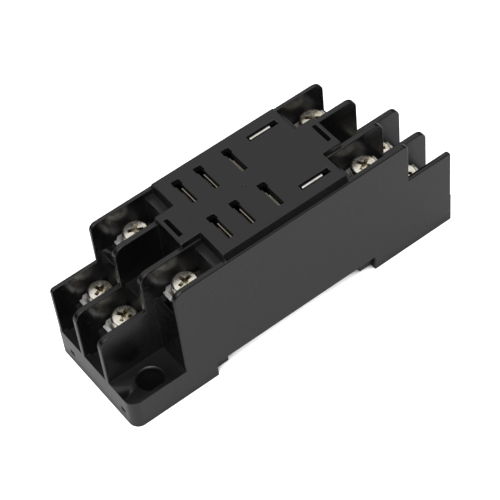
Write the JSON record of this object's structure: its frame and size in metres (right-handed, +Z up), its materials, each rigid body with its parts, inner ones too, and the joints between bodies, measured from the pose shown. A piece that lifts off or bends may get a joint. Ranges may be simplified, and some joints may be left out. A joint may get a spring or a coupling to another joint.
{
  "type": "relay socket",
  "caption": "Black rail-mount relay socket with slotted seat, stepped screw terminals between barriers, mounting ears and a sprung rail latch.",
  "frame": {"origin": "middle of the underside", "axes": "+X along the socket, from the end with the front mounting ear to the coil end; +Y across it towards the back ear; +Z up, out of the seat"},
  "size_m": [0.072, 0.0222, 0.0296],
  "materials": {
    "housing": "moulded, fairly glossy",
    "base": "moulded, fairly glossy",
    "latch": "moulded",
    "contact": "tin-plated strip",
    "clamp": "zinc-plated",
    "washer": "zinc-plated spring steel",
    "screw": "nickel-plated",
    "spring": "bright spring wire"
  },
  "bodies": {
    "root": {"body": "housing", "base": "base", "contact_1": "contact", "contact_2": "contact", "contact_3": "contact", "contact_4": "contact", "contact_5": "contact", "contact_6": "contact", "contact_7": "contact", "contact_8": "contact", "latch_spring": "spring"},
    "clamp_1": {"clamp_plate_1": "clamp"},
    "screw_1": {"screw_1": "screw", "spring_washer_1": "washer"},
    "clamp_2": {"clamp_plate_2": "clamp"},
    "screw_2": {"screw_2": "screw", "spring_washer_2": "washer"},
    "clamp_3": {"clamp_plate_3": "clamp"},
    "screw_3": {"screw_3": "screw", "spring_washer_3": "washer"},
    "clamp_4": {"clamp_plate_4": "clamp"},
    "screw_4": {"screw_4": "screw", "spring_washer_4": "washer"},
    "clamp_5": {"clamp_plate_5": "clamp"},
    "screw_5": {"screw_5": "screw", "spring_washer_5": "washer"},
    "clamp_6": {"clamp_plate_6": "clamp"},
    "screw_6": {"screw_6": "screw", "spring_washer_6": "washer"},
    "clamp_7": {"clamp_plate_7": "clamp"},
    "screw_7": {"screw_7": "screw", "spring_washer_7": "washer"},
    "clamp_8": {"clamp_plate_8": "clamp"},
    "screw_8": {"screw_8": "screw", "spring_washer_8": "washer"},
    "latch": {"rail_latch": "latch"}
  },
  "joints": [
    {"name": "clamp_lift_1", "type": "slide", "parent": "root", "child": "clamp_1", "axis": [0, 0, 1], "range_m": [0, 0.0025]},
    {"name": "screw_turn_1", "type": "hinge", "parent": "clamp_1", "child": "screw_1", "pos_m": [-0.0283, 0.0072, 0.0141], "axis": [0, 0, 1], "range_deg": [0, 1800]},
    {"name": "clamp_lift_2", "type": "slide", "parent": "root", "child": "clamp_2", "axis": [0, 0, 1], "range_m": [0, 0.0025]},
    {"name": "screw_turn_2", "type": "hinge", "parent": "clamp_2", "child": "screw_2", "pos_m": [-0.0194, 0.0072, 0.0233], "axis": [0, 0, 1], "range_deg": [0, 1800]},
    {"name": "clamp_lift_3", "type": "slide", "parent": "root", "child": "clamp_3", "axis": [0, 0, 1], "range_m": [0, 0.0025]},
    {"name": "screw_turn_3", "type": "hinge", "parent": "clamp_3", "child": "screw_3", "pos_m": [-0.0283, 0, 0.0141], "axis": [0, 0, 1], "range_deg": [0, 1800]},
    {"name": "clamp_lift_4", "type": "slide", "parent": "root", "child": "clamp_4", "axis": [0, 0, 1], "range_m": [0, 0.0025]},
    {"name": "screw_turn_4", "type": "hinge", "parent": "clamp_4", "child": "screw_4", "pos_m": [-0.0194, -0.0072, 0.0233], "axis": [0, 0, 1], "range_deg": [0, 1800]},
    {"name": "clamp_lift_5", "type": "slide", "parent": "root", "child": "clamp_5", "axis": [0, 0, 1], "range_m": [0, 0.0025]},
    {"name": "screw_turn_5", "type": "hinge", "parent": "clamp_5", "child": "screw_5", "pos_m": [0.0194, 0.0072, 0.0233], "axis": [0, 0, 1], "range_deg": [0, 1800]},
    {"name": "clamp_lift_6", "type": "slide", "parent": "root", "child": "clamp_6", "axis": [0, 0, 1], "range_m": [0, 0.0025]},
    {"name": "screw_turn_6", "type": "hinge", "parent": "clamp_6", "child": "screw_6", "pos_m": [0.0194, -0.0072, 0.0233], "axis": [0, 0, 1], "range_deg": [0, 1800]},
    {"name": "clamp_lift_7", "type": "slide", "parent": "root", "child": "clamp_7", "axis": [0, 0, 1], "range_m": [0, 0.0025]},
    {"name": "screw_turn_7", "type": "hinge", "parent": "clamp_7", "child": "screw_7", "pos_m": [0.0283, 0, 0.0141], "axis": [0, 0, 1], "range_deg": [0, 1800]},
    {"name": "clamp_lift_8", "type": "slide", "parent": "root", "child": "clamp_8", "axis": [0, 0, 1], "range_m": [0, 0.0025]},
    {"name": "screw_turn_8", "type": "hinge", "parent": "clamp_8", "child": "screw_8", "pos_m": [0.0283, -0.0072, 0.0141], "axis": [0, 0, 1], "range_deg": [0, 1800]},
    {"name": "latch_slide", "type": "slide", "parent": "root", "child": "latch", "axis": [1, 0, 0], "range_m": [0, 0.0016], "stiffness_N_per_m": 800, "springref_m": -0.002, "deforming": ["latch_spring"]}
  ],
  "couplings": [
    {"joint": "screw_turn_1", "follows": "clamp_lift_1", "rad_per_m": 12566},
    {"joint": "screw_turn_2", "follows": "clamp_lift_2", "rad_per_m": 12566},
    {"joint": "screw_turn_3", "follows": "clamp_lift_3", "rad_per_m": 12566},
    {"joint": "screw_turn_4", "follows": "clamp_lift_4", "rad_per_m": 12566},
    {"joint": "screw_turn_5", "follows": "clamp_lift_5", "rad_per_m": 12566},
    {"joint": "screw_turn_6", "follows": "clamp_lift_6", "rad_per_m": 12566},
    {"joint": "screw_turn_7", "follows": "clamp_lift_7", "rad_per_m": 12566},
    {"joint": "screw_turn_8", "follows": "clamp_lift_8", "rad_per_m": 12566}
  ]
}
